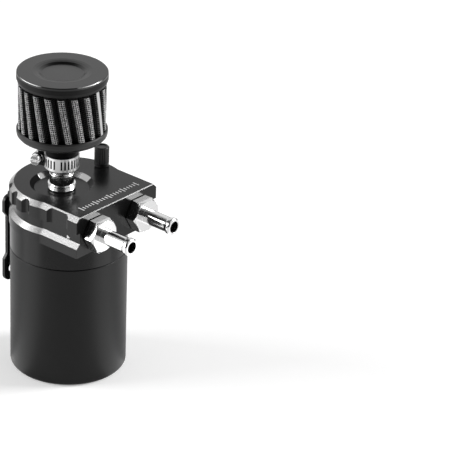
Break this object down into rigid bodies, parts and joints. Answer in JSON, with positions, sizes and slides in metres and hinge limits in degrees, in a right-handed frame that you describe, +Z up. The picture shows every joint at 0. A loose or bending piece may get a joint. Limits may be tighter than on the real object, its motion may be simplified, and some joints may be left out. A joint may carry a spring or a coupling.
{
  "type": "oil catch can",
  "caption": "Round oil catch can with a milled lid, two hose ports, a clamped breather filter, a dipstick and a wall bracket.",
  "frame": {"origin": "on the can's axis, at the plane that the can stands on", "axes": "+Z up along the can's axis, -Y towards the hose ports, +Y towards the wall bracket"},
  "size_m": [0.064, 0.0965, 0.1726],
  "materials": {
    "black_anodised": "black anodised, glossy, with bright milled chamfers",
    "polished_aluminium": "polished",
    "bright_steel": "bright rolled and stamped",
    "black_rubber": "moulded, satin",
    "seal_rubber": "plain",
    "filter_medium": "pleated cotton under a steel gauze",
    "cap_metal": "satin dark grey with a bright edge",
    "bracket_black": "black powder coat"
  },
  "bodies": {
    "lid_assembly": {"lid_block": "black_anodised", "inlet_fitting": "polished_aluminium", "outlet_fitting": "polished_aluminium", "inlet_seal": "seal_rubber", "outlet_seal": "seal_rubber", "breather_fitting": "polished_aluminium", "breather_seal": "seal_rubber", "filter_base": "black_rubber", "filter_media": "filter_medium", "filter_seam_strip": "bright_steel", "filter_top_rim": "black_rubber", "filter_cap": "cap_metal", "clamp_band": "bright_steel", "clamp_housing": "bright_steel", "clamp_screw": "bright_steel", "bracket_plate": "bracket_black", "bracket_screws": "bright_steel", "baffle_plate": "bright_steel", "baffle_spacers": "polished_aluminium", "baffle_screws": "bright_steel"},
    "can_seal_ring": {"can_seal": "seal_rubber"},
    "can": {"can_body": "black_anodised"},
    "dipstick_washer": {"dipstick_seal": "seal_rubber"},
    "dipstick": {"dipstick_knob": "black_anodised", "dipstick_rod": "bright_steel"}
  },
  "joints": [
    {"name": "can_drop", "type": "slide", "parent": "lid_assembly", "child": "can_seal_ring", "axis": [0, 0, -1], "range_m": [0, 0.009]},
    {"name": "can_turn", "type": "hinge", "parent": "can_seal_ring", "child": "can", "pos_m": [0, 0, 0], "axis": [0, 0, -1], "range_deg": [0, 2160]},
    {"name": "dipstick_lift", "type": "slide", "parent": "lid_assembly", "child": "dipstick_washer", "axis": [0, 0, 1], "range_m": [0, 0.105]},
    {"name": "dipstick_turn", "type": "hinge", "parent": "dipstick_washer", "child": "dipstick", "pos_m": [0.0256, 0.0006, 0.11], "axis": [0, 0, 1], "range_deg": [0, 1080]}
  ],
  "couplings": [
    {"joint": "can_drop", "follows": "can_turn", "m_per_rad": 0.00023873}
  ]
}
